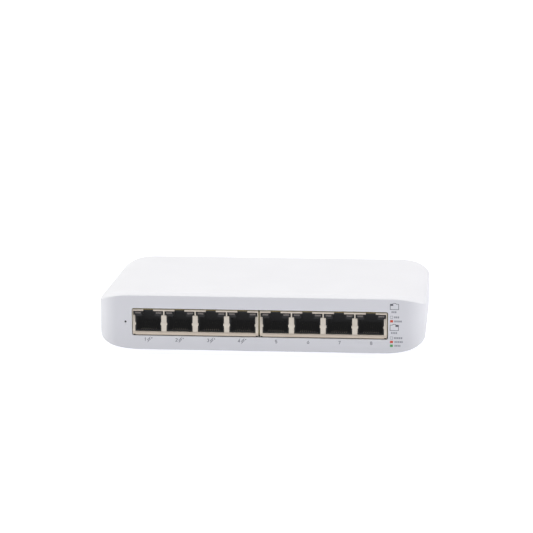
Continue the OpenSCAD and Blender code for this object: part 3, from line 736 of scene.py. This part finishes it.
# ------------------------------------------------------------------ feet
def lathe_z(bm, profile, cx, cy, n=64):
    """Turned solid about an upright axis; profile is (radius, z) from the bottom centre to the top centre."""
    rings = []
    for r, z in profile:
        if r < 1e-6:
            rings.append([bm.verts.new((cx, cy, z))])
        else:
            rings.append([bm.verts.new((cx + r * math.cos(2 * math.pi * k / n), cy + r * math.sin(2 * math.pi * k / n), z)) for k in range(n)])
    for a, b in zip(rings, rings[1:]):
        for k in range(n):
            j = (k + 1) % n
            if len(a) == 1:
                bm.faces.new((a[0], b[k], b[j]))
            elif len(b) == 1:
                bm.faces.new((a[k], b[0], a[j]))
            else:
                bm.faces.new((a[k], b[k], b[j], a[j]))


bm = bmesh.new()
for fx in (-50, 50):
    for fy in (-31.5, 31.5):
        prof = [(0, 0.10), (3.0, 0.10), (3.4, 0.02), (3.7, 0.0), (4.75, 0.0)]
        prof += [(4.7 + 0.8 * math.sin(a), 0.8 - 0.8 * math.cos(a)) for a in [math.pi / 2 * k / 6 for k in range(1, 7)]]
        prof += [(5.5, 2.5), (5.42, 2.62), (5.3, 2.70), (0, 2.70)]
        lathe_z(bm, prof, fx, fy)
bmesh.ops.recalc_face_normals(bm, faces=bm.faces)
feet = make_object("feet_rubber", bm, [M["foot_rubber"]], angle=40)
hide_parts("rubber_feet")

# ------------------------------------------------------------------ jack shields
PITCH = 15.757
PORTS = [i * PITCH for i in (-1.5, -0.5, 0.5, 1.5)]
MODS = (("left", -32.525), ("right", 31.385))
FACE = -49.3


def openings_from_above():
    """The four ports' outlines, each entered through its latch notch from the shield's top edge, right to left."""
    half = [(2.475, 23.22, 0.05), (2.475, 22.32, 0.1), (7.56, 22.32, 0.2), (7.56, 20.27, 0.12), (6.56, 20.27, 0.3),
            (6.56, 16.62, 0.08), (6.22, 16.45, 0.3), (6.22, 15.25, 0.3), (6.56, 15.08, 0.08), (6.56, 12.0, 0.22)]
    path = []
    for p in reversed(PORTS):
        path += [(p - 0.06 + x, z, r) for x, z, r in half]
        path += [(p - 0.06 - x, z, r) for x, z, r in reversed(half)]
    return path


def make_shield(side, mx):
    bm = bmesh.new()
    w, nick = 31.55, 0.36
    outer = [(-w, 10.2, 0.12), (-w + 0.25, 10.2, 0.04), (-w + 0.25, 10.2 + nick, 0.05), (-w + 1.3, 10.2 + nick, 0.05), (-w + 1.3, 10.2, 0.1),
             (w - 1.3, 10.2, 0.1), (w - 1.3, 10.2 + nick, 0.05), (w - 0.25, 10.2 + nick, 0.05), (w - 0.25, 10.2, 0.04), (w, 10.2, 0.12),
             (w, 23.22, 0.25)] + openings_from_above() + [(-w, 23.22, 0.25)]
    sheet_plate(bm, outer, [], FACE, FACE + 0.4, 0.08, seg=4, steps=3, rim=1, at=mx)
    # folded sides, top and back of the can; the sides swell a little behind the face
    t = 0.3
    for s in (-1, 1):
        x0, x1 = sorted((mx + s * w, mx + s * (w - t)))
        box(bm, (x0, FACE + 0.34, 10.3), (x1, FACE + 18.3, 23.45), mat=1)
        for y in (-45.0, -36.0):
            box(bm, (x0, y, 9.9), (x1, y + 2.4, 10.3))
        a, b = sorted((mx + s * (w - 0.1), mx + s * (w + 0.27)))
        box(bm, (a, FACE + 0.55, 11.2), (b, FACE + 1.6, 22.9), mat=1)
    box(bm, (mx - w + t, FACE + 0.41, 23.16), (mx + w - t, FACE + 1.4, 23.46), mat=1)
    for p in PORTS:
        # the top sheet's edge over each latch notch, in the darkened brass (painted shade)
        box(bm, (mx + p - 0.06 - 2.45, FACE + 0.28, 22.92), (mx + p - 0.06 + 2.45, FACE + 0.415, 23.38), mat=2)
    box(bm, (mx - w + t, FACE + 1.4, 23.17), (mx + w - t, FACE + 18.0, 23.45))
    box(bm, (mx - w + t, FACE + 18.0, 10.3), (mx + w - t, FACE + 18.3, 23.46))
    bmesh.ops.recalc_face_normals(bm, faces=bm.faces)
    ob = make_object(f"jack_shield_{side}", bm, [M["shield_steel"], EDGE_BRASS, SHADED_BRASS], angle=35)
    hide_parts(f"port_shield_{side}")
    return ob


def make_lights(side, mx):
    bm = bmesh.new()
    for p in PORTS:
        for s in (-1, 1):
            c = mx + p - 0.06 + s * 5.25
            sheet_plate(bm, rect(c - 1.45, 20.9, c + 1.45, 21.85, 0.16), [], -48.98, -42.1, 0.12, seg=4, steps=3)
    bmesh.ops.recalc_face_normals(bm, faces=bm.faces)
    ob = make_object(f"light_windows_{side}", bm, [M["light_lens"]], angle=35)
    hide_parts(f"port_lights_{side}")


for side, mx in MODS:
    make_shield(side, mx)
    make_lights(side, mx)

# ------------------------------------------------------------------ printed signs
INK_Y0, INK_Y1 = -HD - 0.017, -HD + 0.03


class Print:
    def __init__(self):
        self.bm = bmesh.new()
        self.count = 0

    def film(self):
        """Front and back of the next mark; neighbours differ by 2 microns, so crossing strokes never share a face."""
        self.count += 1
        lift = 0.002 * (self.count % 3)
        return INK_Y0 + lift, INK_Y1 + lift

    def strip(self, pts, w, mat, closed=False):
        """A line of ink of even width through points, with mitred bends."""
        P = [Vector(p) for p in pts]
        n = len(P)
        L, R = [], []
        for i in range(n):
            if closed or 0 < i < n - 1:
                a = (P[i] - P[i - 1]).normalized()
                b = (P[(i + 1) % n] - P[i]).normalized()
                na, nb = Vector((-a.y, a.x)), Vector((-b.y, b.x))
                off = (na + nb) * (w / 2 / (1 + na.dot(nb)))
            else:
                d = (P[1] - P[0] if i == 0 else P[-1] - P[-2]).normalized()
                off = Vector((-d.y, d.x)) * w / 2
            L.append(P[i] + off)
            R.append(P[i] - off)
        segs = n if closed else n - 1
        ys = self.film()
        f = [[self.bm.verts.new((p.x, y, p.y)) for p in line] for line in (L, R) for y in ys]
        for i in range(segs):
            j = (i + 1) % n
            for a, b in ((0, 2), (2, 3), (3, 1), (1, 0)):
                self.bm.faces.new((f[a][i], f[a][j], f[b][j], f[b][i])).material_index = mat
        if not closed:
            for i in (0, n - 1):
                self.bm.faces.new((f[0][i], f[2][i], f[3][i], f[1][i])).material_index = mat

    def fill(self, pts, mat):
        y0, y1 = self.film()
        a = [self.bm.verts.new((x, y0, z)) for x, z in pts]
        b = [self.bm.verts.new((x, y1, z)) for x, z in pts]
        self.bm.faces.new(a).material_index = mat
        self.bm.faces.new(b[::-1]).material_index = mat
        for i in range(len(a)):
            j = (i + 1) % len(a)
            self.bm.faces.new((a[i], a[j], b[j], b[i])).material_index = mat


def arc(cx, cz, rx, rz, a0, a1, n=10):
    return [(cx + rx * math.cos(math.radians(a0 + (a1 - a0) * k / n)), cz + rz * math.sin(math.radians(a0 + (a1 - a0) * k / n))) for k in range(n + 1)]


def digit(d):
    """Strokes of a plain numeral in a box 1 wide (scaled later) and 1 high."""
    w = 0.56
    return {
        1: [[(0.14, 0.80), (0.34, 1.0), (0.34, 0.0)]],
        2: [arc(0.28, 0.74, 0.26, 0.26, 165, -35) + [(0.02, 0.0), (w, 0.0)]],
        3: [arc(0.28, 0.75, 0.24, 0.25, 150, -90, 12)[:-1] + [(0.27, 0.53)], arc(0.27, 0.27, 0.28, 0.27, 90, -155, 14)],
        4: [[(0.40, 0.381), (0.40, 1.0), (0.0, 0.28), (w, 0.28)], [(0.40, 0.25), (0.40, 0.0)]],
        5: [[(0.52, 1.0), (0.08, 1.0), (0.05, 0.56)] + arc(0.27, 0.32, 0.27, 0.32, 110, -150, 12)],
        6: [[(0.42, 1.0), (0.06, 0.46)], arc(0.28, 0.30, 0.27, 0.30, 0, 360, 20)[:-1]],
        7: [[(0.0, 1.0), (w, 1.0), (0.18, 0.0)]],
        8: [arc(0.28, 0.76, 0.22, 0.24, 0, 360, 18)[:-1], arc(0.28, 0.27, 0.27, 0.27, 0, 360, 20)[:-1]],
    }[d]


pr = Print()
GREY, DARK, PALE, RED, GREEN, DASH = range(6)


def numeral(d, cx, z0, h, w=0.24, slant=0.0):
    for pts in digit(d):
        closed = d in (6, 8) and len(pts) >= 18
        pr.strip([(cx + (x - 0.28) * h * 0.95 + slant * z * h, z0 + w / 2 + z * (h - w)) for x, z in pts], w, GREY, closed)


for d, cx in ((1, -57.8), (2, -42.0), (3, -26.2), (4, -10.6), (5, 7.95), (6, 23.9), (7, 39.5), (8, 55.25)):
    numeral(d, cx, 7.0, 1.8, w=0.30)
    if d <= 4:
        # small power sign: an outlined bolt, and a plus above it
        bx = cx + 1.8
        pr.strip([(bx + 0.62, 9.0), (bx - 0.72, 7.72), (bx - 0.12, 7.72), (bx - 0.5, 6.72), (bx + 0.82, 8.08), (bx + 0.2, 8.08)], 0.22, GREY, True)
        pr.strip([(cx + 2.95, 8.72), (cx + 3.69, 8.72)], 0.24, GREY)
        pr.strip([(cx + 3.32, 8.35), (cx + 3.32, 9.09)], 0.24, GREY)


def port_icon(x0, z0, left):
    """Outline of a jack with its latch tab, and one light filled in."""
    x1, z1, tab = x0 + 4.15, z0 + 2.75, 0.42
    m = (x0 + x1) / 2
    pr.strip([(x0, z0), (x1, z0), (x1, z1), (m + 0.95, z1), (m + 0.55, z1 + tab), (m - 0.55, z1 + tab), (m - 0.95, z1), (x0, z1)], 0.24, DARK, True)
    a = x0 if left else x1 - 1.5
    pr.fill([(a, z1 - 0.85), (a + 1.5, z1 - 0.85), (a + 1.5, z1), (a, z1)], DARK)


def swatch(z0, colour=None):
    x0, x1, z1 = 64.55, 65.95, z0 + 1.2
    if colour is None:
        pr.strip([(x0 + 0.08, z0), (x1 - 0.08, z0), (x1 - 0.08, z1), (x0 + 0.08, z1)], 0.17, PALE, True)
    else:
        pr.fill([(x0, z0 - 0.03), (x1 + 0.05, z0 - 0.03), (x1 + 0.05, z1), (x0, z1)], colour)


def dashes(x0, x1, zc, n):
    """Plain short dashes where a caption would stand."""
    gap = 0.24
    w = (x1 - x0 - gap * (n - 1)) / n
    for k in range(n):
        a = x0 + k * (w + gap)
        pr.fill([(a, zc - 0.46), (a + w, zc - 0.46), (a + w, zc + 0.46), (a, zc + 0.46)], DASH)


port_icon(64.55, 25.15, True)
port_icon(64.55, 14.55, False)
dashes(65.2, 67.6, 23.85, 3)
dashes(65.0, 68.0, 13.3, 4)
swatch(20.65)
swatch(18.65, RED)
swatch(10.15)
swatch(8.2, RED)
swatch(6.25, GREEN)
dashes(66.55, 68.95, 21.25, 3)
dashes(66.6, 70.3, 19.2, 4)
dashes(66.6, 70.6, 10.75, 4)
dashes(66.8, 70.8, 8.8, 5)
dashes(66.8, 69.7, 6.85, 4)
bmesh.ops.recalc_face_normals(pr.bm, faces=pr.bm.faces)
signs = make_object("front_signs", pr.bm, [INK_GREY, INK_DARK, INK_PALE, INK_RED, INK_GREEN, INK_DASH], angle=35)

# ------------------------------------------------------------------ floor, lights, world
def area(name, place, aim, sx, sy, watts, colour=(1, 1, 1)):
    l = bpy.data.lights.new(name, "AREA")
    l.shape = "RECTANGLE"
    l.size, l.size_y = sx, sy
    l.energy = watts
    l.color = colour
    o = bpy.data.objects.new(name, l)
    scene.collection.objects.link(o)
    o.location = place
    o.rotation_mode = "QUATERNION"
    o.rotation_quaternion = (Vector(aim) - Vector(place)).to_track_quat("-Z", "Y")
    o.visible_camera = False
    return o


def stage():
    """A back-lit white table, soft light all round, and soft boxes above and at both sides."""
    s = Shade("floor_acrylic").put(IOR=1.4, Emission_Strength=0.65, Emission_Color=(1.004, 1.010, 1.010, 1))
    n = s.noise(60.0, 4, 0.6)
    s.colour(s.ramp(n, [(0.3, (0.546, 0.551, 0.611)), (0.7, (0.564, 0.569, 0.630))]))
    s.rough(s.span(s.noise(2.0, 3), 0.8, 0.9))
    s.put(Specular_IOR_Level=0.1)
    bm = bmesh.new()
    bmesh.ops.create_grid(bm, x_segments=8, y_segments=8, size=30000)
    make_object("floor", bm, [s.mat], body=None)

    w = bpy.data.worlds.new("studio")
    scene.world = w
    w.use_nodes = True
    bg = w.node_tree.nodes["Background"]
    bg.inputs["Color"].default_value = (0.97, 0.98, 1.0, 1)
    bg.inputs["Strength"].default_value = 1.0
    # the white surroundings are only looked at; the lamps and the table do the lighting
    w.cycles_visibility.diffuse = False
    w.cycles_visibility.glossy = False
    w.cycles_visibility.transmission = False

    sun = bpy.data.lights.new("overhead", "SUN")
    sun.energy = 3.26
    sun.color = (1.0, 0.992, 0.998)
    sun.angle = math.radians(50)
    o = bpy.data.objects.new("overhead", sun)
    scene.collection.objects.link(o)

    area("softbox_left", (-1.2, 0.05, 0.5), (0, 0, 0.02), 1.0, 0.8, 6.63, (0.99, 1, 0.915))
    area("softbox_right", (1.2, 0.05, 0.5), (0, 0, 0.02), 1.0, 0.8, 5.58, (1, 1, 0.965))


stage()
scene.view_settings.view_transform = "Standard"
scene.view_settings.look = "None"
scene.view_settings.exposure = 0.0
scene.view_settings.gamma = 1.0
# the camera's own veil: blacks never quite close
scene.view_settings.use_curve_mapping = True
veil = scene.view_settings.curve_mapping
veil.black_level = (-0.011, -0.011, -0.0112)
veil.update()
